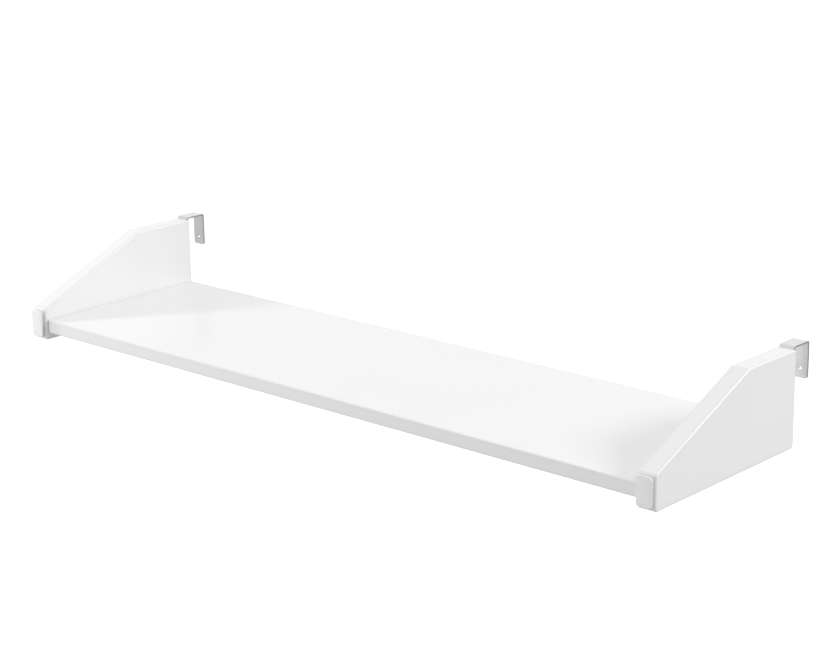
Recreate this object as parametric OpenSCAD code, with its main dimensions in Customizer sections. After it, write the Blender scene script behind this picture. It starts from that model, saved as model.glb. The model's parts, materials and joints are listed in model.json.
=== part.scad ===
// Hook-on hanging shelf: a board between two sloped side panels that hang from a bed
// rail on two bent steel hooks. Millimetres, +X to the right, +Y to the back, +Z up.
// The origin is the middle of the plan outline, level with the panels' bottom edges.

/* [Side panels] */
// Overall width over the outer faces of the two side panels
shelf_w = 930; // [500:10:1200]
// Depth of a side panel from its front edge to its back edge
panel_d = 240; // [200:5:320]
// Height of a side panel at the back
panel_back_h = 106; // [100:1:180]
// Height of a side panel at the front
panel_front_h = 38; // [34:1:60]
// Length of the level stretch along the top, next to the back edge
panel_level = 85; // [40:5:120]
// Thickness of a side panel
panel_t = 22; // [20:1:28]
// Radius of the panel's corners, seen from the side
panel_corner_r = 4; // [4:1:10]
// Radius that softens the panel's long edges
panel_edge_r = 2; // [1:0.5:2]

/* [Shelf board] */
// Thickness of the board
board_t = 16; // [16:1:19]
// Height of the board's underside above the panels' bottom edges
board_rise = 9; // [2:1:10]
// Distance of the board's front edge behind the panels' front edges
board_setback = 3; // [0:1:10]
// Radius that softens the board's edges
board_edge_r = 1.5; // [1:0.5:2]

/* [Front caps] */
// Thickness of the cap's face plate
cap_plate_t = 2; // [2:0.5:6]
// Shadow gap between the face plate and the panel
cap_gap = 3; // [1:0.5:4]
// How far the face plate's top and sides stay inside the panel's outline
cap_margin = 1.5; // [0.5:0.5:2]
// Height of the face plate's lower edge above the panels' bottom edges
cap_lift = 4; // [1:0.5:6]
// Radius of the face plate's corners, seen from the front
cap_corner_r = 4; // [3:0.5:6]
// Radius that softens the face plate's edges
cap_edge_r = 0.8; // [0.4:0.1:0.9]

/* [Hooks] */
// Width of the steel strip
hook_w = 18; // [14:1:18]
// Thickness of the steel strip
hook_t = 2; // [2:0.5:3]
// Clear gap for the rail between the two legs
rail_gap = 25; // [18:1:40]
// Height of the hook's top face above the panel's level stretch
hook_rise = 3; // [2:0.5:8]
// Length of the leg that is let into the panel's back edge and screwed to it
front_leg = 78; // [74:1:95]
// Length of the leg that drops behind the rail
rear_leg = 41; // [30:1:44]
// Inside radius of the two bends
hook_bend_r = 1; // [1:0.5:3]
// Radius of the lower corners of the legs
hook_corner_r = 3; // [2:0.5:6]
// Diameter of the hole in the rear leg
rail_hole_d = 3.5; // [3:0.5:6]
// Height of that hole above the end of the rear leg
rail_hole_up = 10; // [8:1:14]

/* [Fittings] */
// Distance between the two cam fittings at each end of the board
cam_spacing = 140; // [110:5:150]
// Distance between the two dowels at each end of the board
dowel_spacing = 70; // [50:5:80]
// Distance from the end of the board to the centre of a cam
cam_edge = 34; // [24:1:40]
// Length of a dowel
dowel_len = 30; // [25:1:35]
// Length of a hook screw
hook_screw_len = 30; // [25:1:40]

/* [Hidden] */

$fn = 48;
// Steps round the circles that hull() joins
hull_fn = 24;
// How far a cutting shape runs past the face that it opens
over = 1;
// Radial clearance of a fitting in its hole
play = 0.05;

// Places along Y and X
cap_out = cap_plate_t + cap_gap;
total_d = cap_out + panel_d + rail_gap + hook_t;
y_front = cap_out - total_d / 2;
y_back = y_front + panel_d;
y_leg = y_back - hook_t;
y_board = y_front + board_setback;
board_d = y_back - y_board;
y_board_mid = y_board + board_d / 2;
x_inner = shelf_w / 2 - panel_t;
x_mid = shelf_w / 2 - panel_t / 2;
z_board_mid = board_rise + board_t / 2;
cap_top = panel_front_h - cap_margin;
hook_top = panel_back_h + hook_rise;

// Cam fitting: a turned lock in the board's underside that grips a ball-headed bolt
cam_r = 7.5;
cam_top_gap = 0.5;
cam_depth = board_t / 2 + 4.5;
// Screwdriver slot as [length, width, depth]
cam_slot = [9, 1.6, 1.4];
bolt_ball_r = 3.2;
bolt_neck_r = 2;
bolt_shank_r = 3.5;
bolt_bore_r = 4;
bolt_thread_r = 2.5;
bolt_thread_len = 11;
// Gap that keeps the bolt's collar clear of the cam
bolt_collar_gap = 1;
thread_depth = 0.5;
thread_pitch = 1.5;

dowel_r = 4;
dowel_in_panel = 11;
dowel_chamfer = 0.8;
hole_spare = 1;

// Cap stem: ribbed plug that holds the cap in the panel's front edge
stem_r = 4;
stem_len = 16;
stem_rib = 2;
stem_z = panel_front_h / 2;

// Hook screws: countersunk heads, flush with the leg and with the panel's back edge
screw_r = 2;
screw_head_r = 3.8;
screw_head_h = 1.8;
screw_hole_r = 2.2;
screw_tip = 4;
// One arm of the cross recess as [length, width, depth]
screw_recess = [4.4, 0.9, 1.2];
// Heights of the two screws above the end of the leg
screw_up = [14, 34];

// A plate on the XY plane with rounded corners and softened edges
module soft_plate(corners, thickness, corner_r, edge_r) {
    hull()
        for (corner = corners)
            translate([corner.x, corner.y, 0])
                soft_disc(thickness, corner_r, edge_r);
}

// A disc whose two rims are rounded by edge_r
module soft_disc(thickness, disc_r, edge_r) {
    rotate_extrude($fn = hull_fn) {
        square([disc_r - edge_r, thickness]);
        translate([0, edge_r])
            square([disc_r, thickness - 2 * edge_r]);
        for (y = [edge_r, thickness - edge_r])
            translate([disc_r - edge_r, y])
                intersection() {
                    circle(edge_r, $fn = hull_fn);
                    translate([0, -edge_r])
                        square(2 * edge_r);
                }
    }
}

// The four corners of a rectangle from low to high, drawn in by inset
function box_corners(low, high, inset) = [
    [low.x + inset, low.y + inset],
    [high.x - inset, low.y + inset],
    [high.x - inset, high.y - inset],
    [low.x + inset, high.y - inset]
];

// The point where two lines cross, each given by a point and a direction
function crossing(a, u, b, v) = a + u * cross(b - a, v) / cross(u, v);

// The panel's outline drawn in by inset, as [depth, height] pairs
function panel_corners(inset) =
    let (
        knee = [panel_d - panel_level, panel_back_h],
        nose = [0, panel_front_h],
        slope = (knee - nose) / norm(knee - nose),
        inward = [slope.y, -slope.x] * inset,
        level = [1, 0],
        upright = [0, 1]
    ) [
        [inset, inset],
        [panel_d - inset, inset],
        [panel_d - inset, panel_back_h - inset],
        crossing(nose + inward, slope, [0, panel_back_h - inset], level),
        crossing(nose + inward, slope, [inset, 0], upright)
    ];

// Profile of ridges along a turned thread: [radius, distance] pairs from start to end
function ridges(r, start, end) =
    let (count = floor((end - start) / thread_pitch))
    [
        for (i = [0 : count - 1])
            let (z = start + i * thread_pitch)
            each [[r - thread_depth, z], [r, z + thread_pitch / 2]],
        [r - thread_depth, start + count * thread_pitch]
    ];

// Puts its children at the right-hand end, or mirrored at the left-hand end
module at_side(side) {
    mirror([side < 0 ? 1 : 0, 0, 0])
        children();
}

// Lays a turned shape that is drawn along Z down along +X, on the board's mid-height
module along_x(x, y) {
    translate([x, y, z_board_mid])
        rotate([0, 90, 0])
            children();
}

// Lays a turned shape that is drawn along Z down along +Y
module along_y(x, y, z) {
    translate([x, y, z])
        rotate([-90, 0, 0])
            children();
}

// Repeats its children at the two cams, or at the two dowels, of one end
module pair_at(spacing) {
    for (offset = [-spacing / 2, spacing / 2])
        translate([0, y_board_mid + offset, 0])
            children();
}

// Repeats its children at the two screws of the right-hand hook, along +Y from the back edge
module at_hook_screws(y) {
    for (up = screw_up)
        along_y(x_mid, y, hook_top - front_leg + up)
            children();
}

module shelf_board() {
    color([0.95, 0.95, 0.94])
        difference() {
            translate([0, 0, board_rise])
                soft_plate(
                    box_corners([-x_inner, y_board], [x_inner, y_back], 2 * board_edge_r),
                    board_t, 2 * board_edge_r, board_edge_r
                );
            for (side = [-1, 1])
                at_side(side)
                    board_holes();
        }
}

// Cam pockets, bolt bores and dowel holes at the right-hand end of the board
module board_holes() {
    pair_at(cam_spacing) {
        translate([x_inner - cam_edge, 0, board_rise - over])
            cylinder(r = cam_r, h = cam_depth + over);
        along_x(x_inner - cam_edge, 0)
            cylinder(r = bolt_bore_r, h = cam_edge + over);
    }
    pair_at(dowel_spacing)
        along_x(x_inner - dowel_len + dowel_in_panel - hole_spare, 0)
            cylinder(r = dowel_r + play, h = dowel_len - dowel_in_panel + hole_spare + over);
}

module side_panel(side) {
    color([0.93, 0.93, 0.92])
        at_side(side)
            difference() {
                translate([x_inner, y_front, 0])
                    rotate([90, 0, 90])
                        soft_plate(panel_corners(panel_corner_r), panel_t, panel_corner_r, panel_edge_r);
                panel_holes();
            }
}

// Fitting holes in the inner face, the cap's hole in front, the hook's groove and screw holes behind
module panel_holes() {
    pair_at(cam_spacing)
        along_x(x_inner - over, 0)
            cylinder(r = bolt_thread_r + play, h = bolt_thread_len + hole_spare + over);
    pair_at(dowel_spacing)
        along_x(x_inner - over, 0)
            cylinder(r = dowel_r + play, h = dowel_in_panel + hole_spare + over);
    along_y(x_mid, y_front - over, stem_z)
        cylinder(r = stem_r + play, h = stem_len + hole_spare + over);
    leg_block(y_leg, hook_t + over, front_leg, play);
    at_hook_screws(y_back - hook_screw_len)
        cylinder(r = screw_r + play, h = hook_screw_len);
}

module front_cap(side) {
    half_w = panel_t / 2 - cap_margin;
    color([0.88, 0.88, 0.87])
        at_side(side) {
            translate([x_mid, y_front - cap_gap, 0])
                rotate([90, 0, 0])
                    soft_plate(
                        box_corners([-half_w, cap_lift], [half_w, cap_top], cap_corner_r),
                        cap_plate_t, cap_corner_r, cap_edge_r
                    );
            cap_neck(half_w);
            along_y(x_mid, y_front, stem_z)
                cap_stem();
        }
}

// Narrow block that carries the face plate clear of the panel
module cap_neck(half_w) {
    neck_in = cap_gap + cap_margin;
    translate([x_mid - half_w + neck_in, y_front - cap_gap, cap_lift + neck_in])
        cube([2 * (half_w - neck_in), cap_gap, cap_top - cap_lift - 2 * neck_in]);
}

// Ribbed plug, drawn along Z from the panel's front edge inwards
module cap_stem() {
    rib_count = floor(stem_len / stem_rib);
    rotate_extrude()
        polygon([
            [0, 0],
            for (i = [0 : rib_count - 1])
                each [[stem_r, i * stem_rib], [stem_r - thread_depth, (i + 1) * stem_rib]],
            [0, rib_count * stem_rib]
        ]);
}

module rail_hook(side) {
    color([0.75, 0.76, 0.77])
        at_side(side)
            difference() {
                intersection() {
                    translate([x_mid - hook_w / 2, y_leg, hook_top])
                        rotate([90, 0, 90])
                            linear_extrude(hook_w)
                                hook_profile();
                    hook_outline();
                }
                hook_holes();
            }
}

// Bent strip seen from the side, hanging down from its top face at [0, 0]
module hook_profile() {
    span = rail_gap + 2 * hook_t;
    outer_r = hook_bend_r + hook_t;
    difference() {
        union() {
            translate([0, -front_leg])
                square([span, front_leg - outer_r]);
            translate([outer_r, -front_leg])
                square([span - 2 * outer_r, front_leg]);
            for (y = [outer_r, span - outer_r])
                translate([y, -outer_r])
                    circle(outer_r);
        }
        translate([hook_t, -front_leg - over])
            square([rail_gap, front_leg + over - hook_t - hook_bend_r]);
        translate([hook_t + hook_bend_r, -front_leg])
            square([rail_gap - 2 * hook_bend_r, front_leg - hook_t]);
        for (y = [outer_r, span - outer_r])
            translate([y, -outer_r])
                circle(hook_bend_r);
    }
}

// Both legs seen from the back, as blocks that give the strip its leg lengths and corners
module hook_outline() {
    front_block = hook_t + rail_gap / 2;
    leg_block(y_leg, front_block, front_leg);
    leg_block(y_leg + front_block, front_block, rear_leg);
}

// A leg's outline with its two lower corners rounded, made larger all round by spare
module leg_block(y, depth, length, spare = 0) {
    half_w = hook_w / 2 + spare;
    corner_r = hook_corner_r + spare;
    low = -length - spare;
    translate([x_mid, y + depth, hook_top])
        rotate([90, 0, 0])
            linear_extrude(depth)
                union() {
                    translate([-half_w, low + corner_r])
                        square([2 * half_w, -low - corner_r]);
                    translate([corner_r - half_w, low])
                        square([2 * (half_w - corner_r), -low]);
                    for (x = [corner_r - half_w, half_w - corner_r])
                        translate([x, low + corner_r])
                            circle(corner_r);
                }
}

module hook_holes() {
    along_y(x_mid, y_back + rail_gap - over, hook_top - rear_leg + rail_hole_up)
        cylinder(d = rail_hole_d, h = hook_t + 2 * over);
    at_hook_screws(y_leg - over)
        cylinder(r = screw_hole_r, h = hook_t + 2 * over);
    at_hook_screws(y_back - screw_head_h)
        cylinder(r1 = screw_hole_r, r2 = screw_head_r + play, h = screw_head_h);
}

module hook_screws(side) {
    color([0.7, 0.71, 0.72])
        at_side(side)
            at_hook_screws(y_back)
                hook_screw();
}

// Countersunk screw with a cross recess, its head's face at the origin and its tip towards -Z
module hook_screw() {
    shank_end = -hook_screw_len + screw_tip;
    core_r = screw_r - thread_depth;
    difference() {
        rotate_extrude()
            polygon(concat(
                [[0, -hook_screw_len]],
                ridges(screw_r, shank_end, -screw_head_h - thread_pitch),
                [[core_r, -screw_head_h - thread_depth], [screw_r, -screw_head_h]],
                [[screw_head_r, 0], [0, 0]]
            ));
        for (turn = [0, 90])
            rotate([0, 0, turn])
                translate([-screw_recess.x / 2, -screw_recess.y / 2, -screw_recess.z])
                    cube([screw_recess.x, screw_recess.y, screw_recess.z + over]);
    }
}

module cam_bolts(side) {
    color([0.78, 0.78, 0.76])
        at_side(side)
            pair_at(cam_spacing)
                along_x(x_inner, 0)
                    cam_bolt();
}

// Ball-headed bolt: thread towards +Z in the panel, ball towards -Z in the cam
module cam_bolt() {
    shank_len = cam_edge - cam_r - bolt_collar_gap;
    rotate_extrude()
        polygon(concat(
            [[0, -cam_edge], [bolt_neck_r, -cam_edge], [bolt_neck_r, -shank_len]],
            [[bolt_shank_r, -shank_len], [bolt_shank_r, 0]],
            ridges(bolt_thread_r, 0, bolt_thread_len),
            [[0, bolt_thread_len]]
        ));
    translate([0, 0, -cam_edge])
        sphere(bolt_ball_r);
}

module cam_locks(side) {
    color([0.7, 0.7, 0.69])
        at_side(side)
            pair_at(cam_spacing)
                translate([x_inner - cam_edge, 0, board_rise])
                    cam_lock();
}

// Turned lock, open towards the panel for the bolt, with a cross slot underneath
module cam_lock() {
    ball_z = z_board_mid - board_rise;
    difference() {
        cylinder(r = cam_r - play, h = cam_depth - cam_top_gap);
        translate([0, 0, ball_z]) {
            sphere(bolt_ball_r + play);
            rotate([0, 90, 0])
                cylinder(r = bolt_neck_r + play, h = cam_r + over);
        }
        for (turn = [45, 135])
            rotate([0, 0, turn])
                translate([-cam_slot.x / 2, -cam_slot.y / 2, -over])
                    cube([cam_slot.x, cam_slot.y, cam_slot.z + over]);
    }
}

module dowels(side) {
    color("burlywood")
        at_side(side)
            pair_at(dowel_spacing)
                along_x(x_inner - dowel_len + dowel_in_panel, 0)
                    dowel();
}

// Round wooden pin with chamfered ends
module dowel() {
    rotate_extrude()
        polygon([
            [0, 0],
            [dowel_r - dowel_chamfer, 0],
            [dowel_r, dowel_chamfer],
            [dowel_r, dowel_len - dowel_chamfer],
            [dowel_r - dowel_chamfer, dowel_len],
            [0, dowel_len]
        ]);
}

shelf_board();
side_panel(-1);  // left_side_panel
side_panel(1);  // right_side_panel
front_cap(-1);  // left_front_cap
front_cap(1);  // right_front_cap
rail_hook(-1);  // left_rail_hook
rail_hook(1);  // right_rail_hook
hook_screws(-1);  // left_hook_screws
hook_screws(1);  // right_hook_screws
cam_bolts(-1);  // left_cam_bolts
cam_bolts(1);  // right_cam_bolts
cam_locks(-1);  // left_cam_locks
cam_locks(1);  // right_cam_locks
dowels(-1);  // left_dowels
dowels(1);  // right_dowels
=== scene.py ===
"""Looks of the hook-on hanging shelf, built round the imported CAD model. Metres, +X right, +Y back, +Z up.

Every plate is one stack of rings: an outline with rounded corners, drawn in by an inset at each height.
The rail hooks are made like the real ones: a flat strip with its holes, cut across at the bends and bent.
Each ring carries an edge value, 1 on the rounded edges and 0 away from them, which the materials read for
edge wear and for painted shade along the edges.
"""

import json
import math

import bmesh
import bpy
from mathutils import Matrix, Vector
from mathutils.geometry import tessellate_polygon


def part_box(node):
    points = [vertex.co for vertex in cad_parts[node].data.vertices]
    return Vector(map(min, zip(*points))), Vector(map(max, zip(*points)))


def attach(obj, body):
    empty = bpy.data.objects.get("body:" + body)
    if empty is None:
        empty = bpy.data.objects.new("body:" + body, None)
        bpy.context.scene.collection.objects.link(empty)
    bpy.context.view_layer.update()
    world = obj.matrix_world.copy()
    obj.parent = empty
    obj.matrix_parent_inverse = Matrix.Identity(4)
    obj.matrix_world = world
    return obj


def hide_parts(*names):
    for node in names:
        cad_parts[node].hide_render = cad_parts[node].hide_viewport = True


MM = 0.001

# Side panels: height at the front, length of the level stretch on top, radii
PANEL_FRONT_H = 38 * MM
PANEL_LEVEL = 85 * MM
PANEL_CORNER_R = 4 * MM
PANEL_EDGE_R = 2 * MM

# Shelf board, with the pockets for its cam locks
BOARD_CORNER_R = 3 * MM
BOARD_EDGE_R = 1.5 * MM
POCKET_R = 7.5 * MM
POCKET_DEPTH = 12.5 * MM
POCKET_BREAK = 0.3 * MM

# Front caps: the gap behind the face plate, the neck in that gap, the plate's radii and crown
CAP_GAP = 3 * MM
CAP_CORNER_R = 4 * MM
CAP_EDGE_R = 0.8 * MM
CAP_BACK_R = 0.3 * MM
CAP_NECK_IN = 4.5 * MM
CAP_CROWN = 0.3 * MM

# The crown's rings: how many, how near to the middle they come and the wear on the outermost one
CROWN_STEPS = 6
CROWN_SHARE = 0.9
CROWN_EDGE_WEAR = 0.6

# Rail hooks: the strip, its legs and bends, its holes and the groove that it lies in
HOOK_W = 18 * MM
HOOK_T = 2 * MM
HOOK_BEND_R = 1 * MM
HOOK_CORNER_R = 3 * MM
HOOK_EDGE_R = 0.4 * MM
REAR_LEG = 41 * MM
RAIL_HOLE_UP = 10 * MM
SCREW_UP = (14 * MM, 34 * MM)
SCREW_HOLE_R = 2.2 * MM
SCREW_HEAD_R = 3.85 * MM
SCREW_LAND = 0.2 * MM
HOLE_BREAK = 0.15 * MM
GROOVE_PLAY = 0.05 * MM
BEND_CUTS = 8

# The strip's sides: half of their middle, which carries no edge wear or shade, and how far in from them the
# dark side colour is full: sheared steel with painted dark reflection
EDGE_MIDDLE = 0.3 * MM
SHEARED_SHADE_IN = 0.1 * MM

# Mesh fineness: steps in a rounded corner, a rounded rim and a hole, how far edge wear and painted edge
# shade spread, and how shading spreads
ARC_STEPS = 6
RIM_STEPS = 5
HOLE_STEPS = 40
SHARPEST_R = 0.2 * MM
WEAR_AND_SHADE_FADE = 5 * MM
SMOOTH_ANGLE = math.radians(38)

# Brightness of the clean lacquer
LACQUER_WHITE = 0.86

# Stage: drop to the floor, half its width, top of the walls, glow of both
FLOOR_DROP = 1.1
STAGE_HALF = 30.0
WALL_TOP = 28.0
STAGE_GLOW = 0.45

# Soft surroundings: (direction, cosines to it where the glow starts and is full, strengths there)
WORLD_GLOWS = (
    ((0, 0, 1), (-0.6, 0.3), (0.47, 0.75)),
    ((-0.66, 0.70, 0.28), (0.8, 1.0), (0.0, 0.15)),
)

# Lamps: name, position, target, size, watts and whether reflections show it
LAMPS = (
    ("left_front", (-2.15, -0.64, 0.90), (-0.35, 0, 0.05), (0.25, 0.25), 16, False),
    ("low_front", (-1.3, -1.4, 0.05), (-0.2, -0.13, 0.02), (0.6, 0.6), 8.0, False),
    ("right_back", (3.9, 2.8, 2.75), (0.35, 0, 0.05), (2.4, 1.2), 122, True),
    ("overhead", (1.49, 0.42, 1.74), (0.3, 0, 0), (0.6, 0.4), 2.6, True),
)

# Camera: azimuth, elevation and roll in degrees, place, lens and sensor width in millimetres
CAMERA_TURN = (42.16, 16.13, -0.83)
CAMERA_PLACE = (1.5727, -1.6889, 0.7379)
CAMERA_LENS = 93.14
CAMERA_SENSOR = 36.0

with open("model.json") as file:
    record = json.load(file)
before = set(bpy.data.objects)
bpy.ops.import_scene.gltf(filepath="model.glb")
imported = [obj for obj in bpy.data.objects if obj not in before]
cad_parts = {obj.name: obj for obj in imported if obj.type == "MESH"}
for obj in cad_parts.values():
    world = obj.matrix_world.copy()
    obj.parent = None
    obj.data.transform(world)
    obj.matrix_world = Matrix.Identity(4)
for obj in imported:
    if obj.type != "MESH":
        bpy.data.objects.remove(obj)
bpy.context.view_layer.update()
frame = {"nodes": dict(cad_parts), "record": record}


# ---------------------------------------------------------------- outlines and stacks


def inset_corners(corners, inset):
    """A convex outline's corners, listed anticlockwise, after every side moves in by inset."""
    moved = []
    for before, corner, after in zip(corners[-1:] + corners[:-1], corners, corners[1:] + corners[:1]):
        arrive = (corner - before).normalized()
        leave = (after - corner).normalized()
        inward = Vector((-arrive.y - leave.y, arrive.x + leave.x))
        moved.append(corner + inward * inset / (1 + arrive.dot(leave)))
    return moved


def outline(corners, corner_r, inset):
    """Points round an outline with rounded corners, drawn in by inset."""
    radius = max(corner_r - inset, SHARPEST_R)
    centres = inset_corners(corners, inset + radius)
    points = []
    for before, centre, after in zip(centres[-1:] + centres[:-1], centres, centres[1:] + centres[:1]):
        arrive = centre - before
        leave = after - centre
        start = math.atan2(arrive.y, arrive.x) - math.pi / 2
        turn = math.atan2(arrive.x * leave.y - arrive.y * leave.x, arrive.dot(leave))
        for step in range(ARC_STEPS + 1):
            angle = start + turn * step / ARC_STEPS
            points.append(centre + radius * Vector((math.cos(angle), math.sin(angle))))
    return points


def circle(centre, radius):
    """Points round a circle."""
    angles = [2 * math.pi * step / HOLE_STEPS for step in range(HOLE_STEPS)]
    return [centre + radius * Vector((math.cos(a), math.sin(a))) for a in angles]


def rim(radius, from_inset=0.0, from_height=0.0):
    """Quarter round from an end face out to a side: (inset, height) pairs."""
    angles = [math.pi / 2 * step / RIM_STEPS for step in range(RIM_STEPS + 1)]
    return [
        (from_inset + radius * (1 - math.sin(a)), from_height + radius * (1 - math.cos(a)))
        for a in angles
    ]


def plate_profile(thickness, edge_r, fade):
    """Profile of a plate whose two rims are rounded: (inset, height, edge wear and shade) from bottom to
    top.
    """
    lower = [(edge_r + fade, 0.0, 0.0)]
    lower += [(inset, height, 1.0) for inset, height in rim(edge_r)]
    lower += [(0.0, edge_r + fade, 0.0)]
    upper = [(inset, thickness - height, wear_and_shade) for inset, height, wear_and_shade in reversed(lower)]
    return lower + upper


class Shape:
    """A mesh in the making, drawn in flat coordinates (u, v, w) and closed by its end faces."""

    def __init__(self):
        self.bm = bmesh.new()
        self.wear_and_shade = self.bm.verts.layers.float.new("wear_and_shade")
        self.flat = self.bm.verts.layers.float_vector.new("flat")

    def ring(self, points, height, wear_and_shade):
        """Vertices at the points of an outline, at one height."""
        made = []
        for point in points:
            vertex = self.bm.verts.new((point.x, point.y, height))
            vertex[self.wear_and_shade] = wear_and_shade
            made.append(vertex)
        return made

    def band(self, low, high):
        """Faces between two rings with as many vertices each."""
        for i in range(len(low)):
            self.bm.faces.new((low[i - 1], low[i], high[i], high[i - 1]))

    def close(self, ring, holes=()):
        """An end face inside a ring, round the holes in it."""
        loops = [ring, *holes]
        vertices = [vertex for loop in loops for vertex in loop]
        for triple in tessellate_polygon([[vertex.co for vertex in loop] for loop in loops]):
            self.bm.faces.new([vertices[i] for i in triple])

    def stack(self, corners, corner_r, profile, holes=()):
        """Rings of one outline, one for each entry of the profile, and the end faces.

        A hole is (centre, walls, through), with walls as (radius, height, edge wear and shade) from the
        bottom face up.
        """
        rings = [
            self.ring(outline(corners, corner_r, inset), height, wear_and_shade)
            for inset, height, wear_and_shade in profile
        ]
        for low, high in zip(rings, rings[1:]):
            self.band(low, high)
        mouths, exits = [], []
        for centre, walls, through in holes:
            bore = [self.ring(circle(centre, radius), height, wear_and_shade) for radius, height, wear_and_shade in walls]
            for low, high in zip(bore, bore[1:]):
                self.band(low, high)
            mouths.append(bore[0])
            if through:
                exits.append(bore[-1])
            else:
                self.close(bore[-1])
        self.close(rings[0], mouths)
        self.close(rings[-1], exits)

    def cut_across(self, u):
        """Cuts every face along a line across the strip, so that it can bend there."""
        everything = self.bm.verts[:] + self.bm.edges[:] + self.bm.faces[:]
        bmesh.ops.bisect_plane(self.bm, geom=everything, plane_co=(u, 0, 0), plane_no=(1, 0, 0))

    def place(self, where):
        """Moves each vertex from its flat coordinates to where(u, v, w), and keeps the flat ones."""
        for vertex in self.bm.verts:
            flat = vertex.co.copy()
            vertex[self.flat] = flat
            vertex.co = where(*flat)


def smooth_normals(mesh):
    """Corner normals that keep flat faces flat and let the rounded rims turn between them.

    Each corner takes the mean of the faces round its vertex that lean less than SMOOTH_ANGLE from its own.
    A face counts by the square of its area, so the flat faces outweigh the narrow rounded ones.
    """
    weights = [face.area ** 2 for face in mesh.polygons]
    round_vertex = [[] for _ in mesh.vertices]
    for face in mesh.polygons:
        for v in face.vertices:
            round_vertex[v].append(face.index)
    least = math.cos(SMOOTH_ANGLE)
    normals = []
    for face in mesh.polygons:
        for v in face.vertices:
            near = [i for i in round_vertex[v] if mesh.polygons[i].normal.dot(face.normal) > least]
            total = sum((mesh.polygons[i].normal * weights[i] for i in near), Vector())
            normals.append(total.normalized())
    mesh.normals_split_custom_set(normals)


def shape_object(shape, name):
    """An object made from a shape, in the scene."""
    bmesh.ops.recalc_face_normals(shape.bm, faces=shape.bm.faces)
    mesh = bpy.data.meshes.new(name)
    shape.bm.to_mesh(mesh)
    shape.bm.free()
    made = bpy.data.objects.new(name, mesh)
    bpy.context.scene.collection.objects.link(made)
    return made


def cut_away(piece, cutter):
    """Takes the cutter's room out of a piece and drops the cutter."""
    boolean = piece.modifiers.new("cut", "BOOLEAN")
    boolean.operation = "DIFFERENCE"
    boolean.solver = "EXACT"
    boolean.object = cutter
    done = piece.evaluated_get(bpy.context.evaluated_depsgraph_get())
    mesh = bpy.data.meshes.new_from_object(done)
    piece.modifiers.remove(boolean)
    piece.data = mesh
    bpy.data.objects.remove(cutter)


def finish_piece(piece, node, material):
    """Shades a piece and lets it stand for a CAD node."""
    mesh = piece.data
    mesh.shade_smooth()
    mesh.update()
    smooth_normals(mesh)
    mesh.materials.clear()
    mesh.materials.append(material)
    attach(piece, "root")
    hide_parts(node)


def rectangle(low_u, low_v, high_u, high_v):
    """Corners of a rectangle, anticlockwise."""
    return [Vector(c) for c in ((low_u, low_v), (high_u, low_v), (high_u, high_v), (low_u, high_v))]


# ---------------------------------------------------------------- node helpers for materials


RANGE_SOCKETS = ("From Min", "From Max", "To Min", "To Max")


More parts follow.
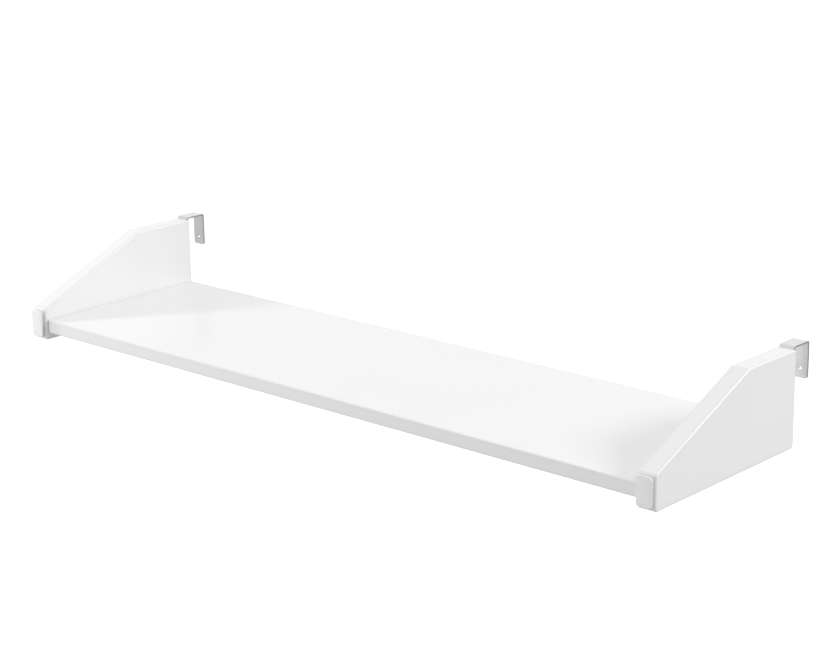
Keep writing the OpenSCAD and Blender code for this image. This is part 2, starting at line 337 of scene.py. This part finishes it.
class Nodes:
    """Short calls that add and join the shader nodes of one material."""

    def __init__(self, name):
        self.material = bpy.data.materials.new(name)
        self.material.use_nodes = True
        self.tree = self.material.node_tree
        self.shader = self.tree.nodes["Principled BSDF"]

    def set(self, **values):
        """Plain values on the shader's own sockets."""
        for socket, value in values.items():
            self.shader.inputs[socket.replace("_", " ")].default_value = value

    def add(self, kind, **settings):
        """A new node with its settings."""
        node = self.tree.nodes.new(kind)
        for key, value in settings.items():
            setattr(node, key, value)
        return node

    def join(self, source, target):
        """A link from an output to an input."""
        self.tree.links.new(source, target)

    def place(self, stretch=(1, 1, 1), source="Object"):
        """The object's own coordinates, or those of the strip before it was bent, stretched."""
        if source == "flat":
            where = self.add("ShaderNodeAttribute", attribute_name="flat").outputs["Vector"]
        else:
            where = self.add("ShaderNodeTexCoord").outputs[source]
        mapping = self.add("ShaderNodeMapping")
        mapping.inputs["Scale"].default_value = stretch
        self.join(where, mapping.inputs["Vector"])
        return mapping.outputs["Vector"]

    def noise(self, scale, detail=2.0, roughness=0.5, stretch=(1, 1, 1), source="Object"):
        """Noise between 0 and 1, with scale as spots to the metre."""
        node = self.add("ShaderNodeTexNoise")
        self.join(self.place(stretch, source), node.inputs["Vector"])
        node.inputs["Scale"].default_value = scale
        node.inputs["Detail"].default_value = detail
        node.inputs["Roughness"].default_value = roughness
        return node.outputs["Fac"]

    def part_of(self, vector, axis):
        """One coordinate of a vector."""
        node = self.add("ShaderNodeSeparateXYZ")
        self.join(vector, node.inputs["Vector"])
        return node.outputs[axis]

    def wear_and_shade(self):
        """The edge value that the shape carries, for wear and painted edge shade: 1 on rounded edges and 0
        away from them.
        """
        return self.add("ShaderNodeAttribute", attribute_name="wear_and_shade").outputs["Fac"]

    def ramp(self, value, low, high, to_low, to_high):
        """value from low..high carried to to_low..to_high, held at the ends."""
        node = self.add("ShaderNodeMapRange")
        for socket, number in zip(RANGE_SOCKETS, (low, high, to_low, to_high)):
            node.inputs[socket].default_value = number
        self.join(value, node.inputs["Value"])
        return node.outputs["Result"]

    def math(self, operation, a, b):
        """A sum, product or the like of two outputs or numbers."""
        node = self.add("ShaderNodeMath", operation=operation)
        for value, socket in ((a, node.inputs[0]), (b, node.inputs[1])):
            if isinstance(value, (int, float)):
                socket.default_value = value
            else:
                self.join(value, socket)
        return node.outputs["Value"]

    def mix(self, factor, a, b):
        """Colour a turning to colour b as factor goes from 0 to 1."""
        node = self.add("ShaderNodeMix", data_type="RGBA")
        colours = [s for s in node.inputs if s.type == "RGBA"]
        for value, socket in ((a, colours[0]), (b, colours[1])):
            if isinstance(value, tuple):
                socket.default_value = (*value, 1.0)
            else:
                self.join(value, socket)
        self.join(factor, node.inputs["Factor"])
        return next(s for s in node.outputs if s.type == "RGBA")

    def colour(self, source):
        """Joins the shader's base colour."""
        self.join(source, self.shader.inputs["Base Color"])

    def roughness(self, source):
        """Joins the shader's roughness."""
        self.join(source, self.shader.inputs["Roughness"])

    def bumps(self, *layers):
        """Bumps one on another: (height source, distance in metres)."""
        normal = None
        for height, distance in layers:
            node = self.add("ShaderNodeBump")
            node.inputs["Strength"].default_value = 1.0
            node.inputs["Distance"].default_value = distance
            self.join(height, node.inputs["Height"])
            if normal is not None:
                self.join(normal, node.inputs["Normal"])
            normal = node.outputs["Normal"]
        self.join(normal, self.shader.inputs["Normal"])


def grey(value, tint=(1.0, 1.0, 1.0)):
    """A grey of one brightness, with a slight tint."""
    return tuple(value * t for t in tint)


# ---------------------------------------------------------------- materials


def lacquer(name, value):
    """White satin lacquer on fibreboard: faint orange peel, cloudy gloss, thinner on the rounded edges,
    which are also painted a little darker as shade along the edge line.
    """
    m = Nodes(name)
    m.set(IOR=1.45, Coat_Weight=0.6, Coat_Roughness=0.16, Coat_IOR=1.5)
    clouds = m.noise(9.0, detail=3.0)
    fine = m.noise(70.0, detail=4.0, roughness=0.6)
    clean = grey(value)
    aged = grey(value * 0.988, (1.0, 0.999, 0.994))
    body = m.mix(m.ramp(clouds, 0.35, 0.65, 0.0, 1.0), clean, aged)
    # On the rounded edges the colour turns a little darker and warmer: partly thinner lacquer there, partly
    # painted shade along the edge line.
    worn_and_shaded = m.math("MULTIPLY", m.wear_and_shade(), m.ramp(fine, 0.35, 0.75, 0.4, 1.0))
    m.colour(m.mix(worn_and_shaded, body, grey(value * 0.96, (1.0, 0.996, 0.985))))
    gloss = m.ramp(clouds, 0.3, 0.7, 0.36, 0.43)
    wiped = m.noise(60.0, detail=5.0, roughness=0.65, stretch=(0.25, 1.0, 1.0))
    rubbed = m.ramp(wiped, 0.55, 0.8, 0.0, 0.06)
    m.roughness(m.math("ADD", m.math("ADD", gloss, rubbed), m.math("MULTIPLY", worn_and_shaded, -0.08)))
    m.bumps((m.noise(260.0, detail=1.0), 0.000012), (m.noise(1100.0, detail=2.0), 0.000003))
    return m.material


def cap_plastic(name):
    """Moulded plastic with a fine spark-eroded grain that is polished a little on the edges."""
    m = Nodes(name)
    m.set(IOR=1.47)
    clouds = m.noise(60.0, detail=2.0)
    body = m.mix(m.ramp(clouds, 0.35, 0.65, 0.0, 1.0), grey(0.885), grey(0.87, (1.0, 0.998, 0.99)))
    m.colour(m.mix(m.math("MULTIPLY", m.wear_and_shade(), 0.3), body, grey(0.86)))
    grain = m.noise(2600.0, detail=2.0, roughness=0.6)
    polished = m.math("MULTIPLY", m.wear_and_shade(), 0.08)
    m.roughness(m.math("SUBTRACT", m.ramp(grain, 0.3, 0.7, 0.36, 0.46), polished))
    m.bumps((grain, 0.000008), (m.noise(500.0, detail=1.0), 0.000006))
    return m.material


def plated_strip(name):
    """Satin zinc on steel strip: rolling lines, a cloudy passivated film, and darker rounded edges and
    sides that are partly sheared bare steel and partly painted dark reflection.
    """
    m = Nodes(name)
    m.set(Metallic=1.0)
    film = m.noise(140.0, detail=3.0, source="flat")
    lines = m.noise(900.0, detail=3.0, roughness=0.6, stretch=(0.04, 1.0, 1.0), source="flat")
    cloudy = m.ramp(film, 0.35, 0.65, 0.0, 1.0)
    body = m.mix(cloudy, grey(0.94, (0.99, 1.0, 1.01)), grey(0.90, (1.005, 1.0, 0.985)))
    body = m.mix(m.ramp(lines, 0.4, 0.7, 0.0, 0.25), body, grey(0.70))
    # The rounded edges darken toward a warm grey and the sides toward a darker one: partly bare sheared
    # steel, partly painted dark reflection.
    body = m.mix(m.ramp(m.wear_and_shade(), 0.5, 1.0, 0.0, 0.6), body, grey(0.6, (1.0, 0.99, 0.97)))
    across = m.math("ABSOLUTE", m.part_of(m.place(source="flat"), "Y"), 0)
    sheared_and_shaded = m.ramp(across, HOOK_W / 2 - HOOK_EDGE_R, HOOK_W / 2 - SHEARED_SHADE_IN, 0.0, 1.0)
    m.colour(m.mix(sheared_and_shaded, body, grey(0.44, (1.0, 0.99, 0.98))))
    m.roughness(m.math("ADD", m.ramp(film, 0.3, 0.7, 0.24, 0.34), m.ramp(lines, 0.3, 0.8, 0.0, 0.12)))
    m.bumps((lines, 0.000010), (m.noise(1500.0, detail=2.0, source="flat"), 0.000004))
    return m.material


def bright_screw(name):
    """Bright zinc on turned and rolled steel."""
    m = Nodes(name)
    m.set(Metallic=1.0)
    film = m.noise(300.0, detail=3.0)
    cloudy = m.ramp(film, 0.35, 0.65, 0.0, 1.0)
    m.colour(m.mix(cloudy, grey(0.68, (0.98, 1.0, 1.02)), grey(0.58, (1.02, 1.0, 0.95))))
    m.roughness(m.ramp(m.noise(900.0, detail=3.0), 0.3, 0.7, 0.22, 0.36))
    m.bumps((m.noise(1800.0, detail=2.0), 0.000006))
    return m.material


def cast_metal(name):
    """Die-cast zinc: dull, slightly grainy and darker in its low spots."""
    m = Nodes(name)
    m.set(Metallic=1.0)
    grain = m.noise(1400.0, detail=4.0, roughness=0.65)
    m.colour(m.mix(m.ramp(grain, 0.3, 0.7, 0.0, 1.0), grey(0.42), grey(0.56, (1.0, 0.995, 0.98))))
    m.roughness(m.ramp(grain, 0.3, 0.7, 0.42, 0.58))
    m.bumps((grain, 0.00002))
    return m.material


def beech(name):
    """Plain beech: long pores and darker rays along the pin, which lies along X."""
    m = Nodes(name)
    m.set(IOR=1.45)
    grain = m.noise(900.0, detail=4.0, roughness=0.6, stretch=(0.08, 1.0, 1.0))
    rays = m.ramp(m.noise(1500.0, detail=2.0, stretch=(0.15, 1.0, 1.0)), 0.62, 0.72, 0.0, 1.0)
    body = m.mix(m.ramp(grain, 0.3, 0.7, 0.0, 1.0), (0.66, 0.46, 0.28), (0.52, 0.33, 0.18))
    m.colour(m.mix(rays, body, (0.36, 0.21, 0.11)))
    m.roughness(m.ramp(grain, 0.3, 0.7, 0.55, 0.7))
    m.bumps((grain, 0.00003))
    return m.material


# ---------------------------------------------------------------- pieces


def build_board(material):
    """The shelf board, with a pocket in its underside for each cam lock."""
    low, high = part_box("shelf_board")
    pockets = []
    for side in ("left", "right"):
        lock_low, lock_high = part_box(side + "_cam_locks")
        u = (lock_low.x + lock_high.x) / 2
        for v in (lock_low.y + POCKET_R, lock_high.y - POCKET_R):
            walls = [
                (POCKET_R + POCKET_BREAK, 0.0, 0.0),
                (POCKET_R, POCKET_BREAK, 1.0),
                (POCKET_R, POCKET_DEPTH, 1.0),
            ]
            pockets.append((Vector((u, v)), walls, False))
    shape = Shape()
    shape.stack(
        rectangle(low.x, low.y, high.x, high.y), BOARD_CORNER_R,
        plate_profile(high.z - low.z, BOARD_EDGE_R, WEAR_AND_SHADE_FADE), pockets,
    )
    shape.place(lambda u, v, w: (u, v, low.z + w))
    board = shape_object(shape, "shelf_board_lacquered")
    finish_piece(board, "shelf_board", material)


def build_panel(side, material):
    """A sloped side panel, drawn as depth and height and thickened along X."""
    low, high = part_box(side + "_side_panel")
    depth, height, thickness = high.y - low.y, high.z - low.z, high.x - low.x
    corners = [
        Vector(c)
        for c in ((0, 0), (depth, 0), (depth, height), (depth - PANEL_LEVEL, height), (0, PANEL_FRONT_H))
    ]
    shape = Shape()
    shape.stack(corners, PANEL_CORNER_R, plate_profile(thickness, PANEL_EDGE_R, WEAR_AND_SHADE_FADE))
    shape.place(lambda u, v, w: (low.x + w, low.y + u, low.z + v))
    panel = shape_object(shape, side + "_side_panel_lacquered")
    cut_away(panel, hook_groove(side))
    finish_piece(panel, side + "_side_panel", material)


def hook_groove(side):
    """The room that the hook's front leg takes in the panel's back edge.

    It stands out of the panel's back and top, so that the groove is open there.
    """
    low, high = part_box(side + "_rail_hook")
    corner_r = HOOK_CORNER_R + GROOVE_PLAY
    shape = Shape()
    shape.stack(
        rectangle(low.x - GROOVE_PLAY, low.z - GROOVE_PLAY, high.x + GROOVE_PLAY, high.z + corner_r),
        corner_r, [(0.0, 0.0, 0.0), (0.0, HOOK_T * 2, 0.0)],
    )
    shape.place(lambda u, v, w: (u, low.y + w, v))
    return shape_object(shape, side + "_groove")


def build_cap(side, material):
    """A front cap: a neck against the panel and a softly crowned face plate in front of it."""
    low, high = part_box(side + "_front_cap")
    panel_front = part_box(side + "_side_panel")[0].y
    reach = panel_front - low.y
    neck = [
        (CAP_NECK_IN + CAP_BACK_R, 0.0, 0.0),
        (CAP_NECK_IN, 0.0, 1.0),
        (CAP_NECK_IN, CAP_GAP, 0.0),
    ]
    back = [(CAP_BACK_R * 2, CAP_GAP, 0.0)]
    back += [(inset, height, 1.0) for inset, height in rim(CAP_BACK_R, 0.0, CAP_GAP)]
    top = reach - CAP_CROWN
    face = [(inset, top - height, 1.0) for inset, height in reversed(rim(CAP_EDGE_R))]
    widest = (high.x - low.x) / 2 - CAP_EDGE_R
    for step in range(1, CROWN_STEPS + 1):
        share = CROWN_SHARE * step / CROWN_STEPS
        rise = CAP_CROWN * (1 - (1 - share) ** 2)
        face.append((CAP_EDGE_R + widest * share, top + rise, CROWN_EDGE_WEAR if step == 1 else 0.0))
    shape = Shape()
    shape.stack(rectangle(low.x, low.z, high.x, high.z), CAP_CORNER_R, neck + back + face)
    shape.place(lambda u, v, w: (u, panel_front - w, v))
    cap = shape_object(shape, side + "_front_cap_moulded")
    finish_piece(cap, side + "_front_cap", material)


def bend_strip(low, high):
    """Lengths of the flat strip's parts, and where a point of it goes once it is bent.

    The strip runs up the front leg, over the rail and down the rear leg: u along it, v across it and
    w through its thickness, from its outer face.
    """
    outer_r = HOOK_BEND_R + HOOK_T
    front = high.z - low.z - outer_r
    bridge = high.y - low.y - 2 * outer_r
    arc = (outer_r - HOOK_T / 2) * math.pi / 2
    x_mid = (low.x + high.x) / 2
    z_bend = high.z - outer_r

    def where(u, v, w):
        x = x_mid + v
        reach = outer_r - w
        if u <= front:
            return (x, low.y + w, z_bend - front + u)
        u -= front
        if u <= arc:
            angle = u / arc * math.pi / 2
            return (x, low.y + outer_r - reach * math.cos(angle), z_bend + reach * math.sin(angle))
        u -= arc
        if u <= bridge:
            return (x, low.y + outer_r + u, high.z - w)
        u -= bridge
        if u <= arc:
            angle = u / arc * math.pi / 2
            return (x, high.y - outer_r + reach * math.sin(angle), z_bend + reach * math.cos(angle))
        u -= arc
        return (x, high.y - w, z_bend - u)

    return front, bridge, arc, where


def hook_holes(side, length):
    """Holes of the flat strip: the rail hole in the rear leg and two countersunk ones in the front leg."""
    mounts = frame["record"]["mounts"]
    rail_hole = next(mount for mount in mounts if mount["name"] == side + "_rail_screw_hole")
    hole_r = rail_hole["dims"]["r_mm"] * MM
    walls = [
        (hole_r + HOLE_BREAK, 0.0, 0.0),
        (hole_r, HOLE_BREAK, 1.0),
        (hole_r, HOOK_T - HOLE_BREAK, 1.0),
        (hole_r + HOLE_BREAK, HOOK_T, 0.0),
    ]
    holes = [(Vector((length - RAIL_HOLE_UP, 0)), walls, True)]
    for up in SCREW_UP:
        walls = [(SCREW_HOLE_R, 0.0, 0.0), (SCREW_HOLE_R, SCREW_LAND, 1.0), (SCREW_HEAD_R, HOOK_T, 0.0)]
        holes.append((Vector((up, 0)), walls, True))
    return holes


def build_hook(side, material):
    """A rail hook: a flat strip with rounded ends and three holes, bent twice."""
    low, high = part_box(side + "_rail_hook")
    front, bridge, arc, where = bend_strip(low, high)
    length = front + arc + bridge + arc + REAR_LEG - (HOOK_BEND_R + HOOK_T)
    half_w = (high.x - low.x) / 2
    profile = plate_profile(HOOK_T, HOOK_EDGE_R, HOOK_T / 2 - HOOK_EDGE_R - EDGE_MIDDLE)
    shape = Shape()
    shape.stack(
        rectangle(0, -half_w, length, half_w), HOOK_CORNER_R, profile, hook_holes(side, length)
    )
    for start in (front, front + arc + bridge):
        for step in range(BEND_CUTS + 1):
            shape.cut_across(start + arc * step / BEND_CUTS)
    shape.place(where)
    hook = shape_object(shape, side + "_rail_hook_plated")
    finish_piece(hook, side + "_rail_hook", material)


def repaint(node, material):
    """Gives a CAD node that stays in view its finished material."""
    mesh = frame["nodes"][node].data
    mesh.materials.clear()
    mesh.materials.append(material)


# ---------------------------------------------------------------- stage, lights and camera


def build_stage():
    """Pale studio floor, as far below the shelf as a bed rail is above a bedroom floor, and pale walls."""
    m = Nodes("studio_floor")
    m.set(IOR=1.3, Emission_Color=(1.0, 1.0, 1.0, 1.0), Emission_Strength=STAGE_GLOW)
    m.colour(m.mix(m.noise(3.0), grey(0.90), grey(0.91)))
    m.roughness(m.ramp(m.noise(20.0), 0.3, 0.7, 0.85, 0.95))
    plan = rectangle(-STAGE_HALF, -STAGE_HALF, STAGE_HALF, STAGE_HALF)
    low = [(point.x, point.y, -FLOOR_DROP) for point in plan]
    high = [(point.x, point.y, WALL_TOP) for point in plan]
    sides = [(i, (i + 1) % 4, (i + 1) % 4 + 4, i + 4) for i in range(4)]
    stage_mesh("studio_floor", low, [(0, 1, 2, 3)], m.material)
    walls = stage_mesh("studio_walls", low + high, sides, m.material)
    walls.visible_shadow = False


def stage_mesh(name, corners, faces, material):
    """A stage piece that the camera sees and that doesn't tint the light on the shelf."""
    mesh = bpy.data.meshes.new(name)
    mesh.from_pydata(corners, [], faces)
    mesh.materials.append(material)
    piece = bpy.data.objects.new(name, mesh)
    bpy.context.scene.collection.objects.link(piece)
    piece.visible_diffuse = False
    piece.visible_glossy = False
    return piece


def build_world():
    """Soft white surroundings: dim from below, with a faint glow low down behind its left end."""
    world = bpy.data.worlds.new("studio")
    bpy.context.scene.world = world
    world.use_nodes = True
    tree = world.node_tree
    coords = tree.nodes.new("ShaderNodeTexCoord")
    strength = None
    for direction, limits, strengths in WORLD_GLOWS:
        dot = tree.nodes.new("ShaderNodeVectorMath")
        dot.operation = "DOT_PRODUCT"
        dot.inputs[1].default_value = Vector(direction).normalized()
        tree.links.new(coords.outputs["Generated"], dot.inputs[0])
        spread = tree.nodes.new("ShaderNodeMapRange")
        spread.interpolation_type = "SMOOTHSTEP"
        for socket, number in zip(RANGE_SOCKETS, (*limits, *strengths)):
            spread.inputs[socket].default_value = number
        tree.links.new(dot.outputs["Value"], spread.inputs["Value"])
        if strength is None:
            strength = spread.outputs["Result"]
        else:
            total = tree.nodes.new("ShaderNodeMath")
            tree.links.new(strength, total.inputs[0])
            tree.links.new(spread.outputs["Result"], total.inputs[1])
            strength = total.outputs["Value"]
    tree.links.new(strength, tree.nodes["Background"].inputs["Strength"])
    tree.nodes["Background"].inputs["Color"].default_value = (1.0, 1.0, 1.0, 1.0)


def add_lamp(name, position, target, size, power, mirrored):
    """A soft rectangular light that points at a target and may or may not show in reflections."""
    light = bpy.data.lights.new(name, "AREA")
    light.shape = "RECTANGLE"
    light.size, light.size_y = size
    light.energy = power
    lamp = bpy.data.objects.new(name, light)
    lamp.location = position
    lamp.rotation_euler = (Vector(target) - Vector(position)).to_track_quat("-Z", "Y").to_euler()
    lamp.visible_camera = False
    lamp.visible_glossy = mirrored
    bpy.context.scene.collection.objects.link(lamp)


def add_camera():
    """The camera, at the photographed angle. Its place and turn were fitted to the shelf's own edges."""
    azimuth, elevation, roll = (math.radians(angle) for angle in CAMERA_TURN)
    forward = Vector((
        -math.sin(azimuth) * math.cos(elevation),
        math.cos(azimuth) * math.cos(elevation),
        -math.sin(elevation),
    ))
    right = forward.cross(Vector((0, 0, 1))).normalized()
    up = right.cross(forward)
    turned_right = right * math.cos(roll) + up * math.sin(roll)
    turned_up = up * math.cos(roll) - right * math.sin(roll)
    data = bpy.data.cameras.new("camera")
    data.sensor_width = CAMERA_SENSOR
    data.lens = CAMERA_LENS
    camera = bpy.data.objects.new("camera", data)
    turn = Matrix((turned_right, turned_up, -forward)).transposed().to_4x4()
    camera.matrix_world = Matrix.Translation(CAMERA_PLACE) @ turn
    bpy.context.scene.collection.objects.link(camera)
    bpy.context.scene.camera = camera


# ---------------------------------------------------------------- the whole scene

board_paint = lacquer("board_lacquer", LACQUER_WHITE)
panel_paint = lacquer("panel_lacquer", LACQUER_WHITE)
moulded = cap_plastic("cap_plastic")
strip_steel = plated_strip("plated_strip")
screw_steel = bright_screw("bright_screw")
lock_metal = cast_metal("cast_zinc")
pin_wood = beech("beech")

build_board(board_paint)
for end in ("left", "right"):
    build_panel(end, panel_paint)
    build_cap(end, moulded)
    build_hook(end, strip_steel)
    repaint(end + "_hook_screws", screw_steel)
    repaint(end + "_cam_bolts", screw_steel)
    repaint(end + "_cam_locks", lock_metal)
    repaint(end + "_dowels", pin_wood)

build_stage()
build_world()
for lamp in LAMPS:
    add_lamp(*lamp)
add_camera()
bpy.context.scene.view_settings.view_transform = "Standard"
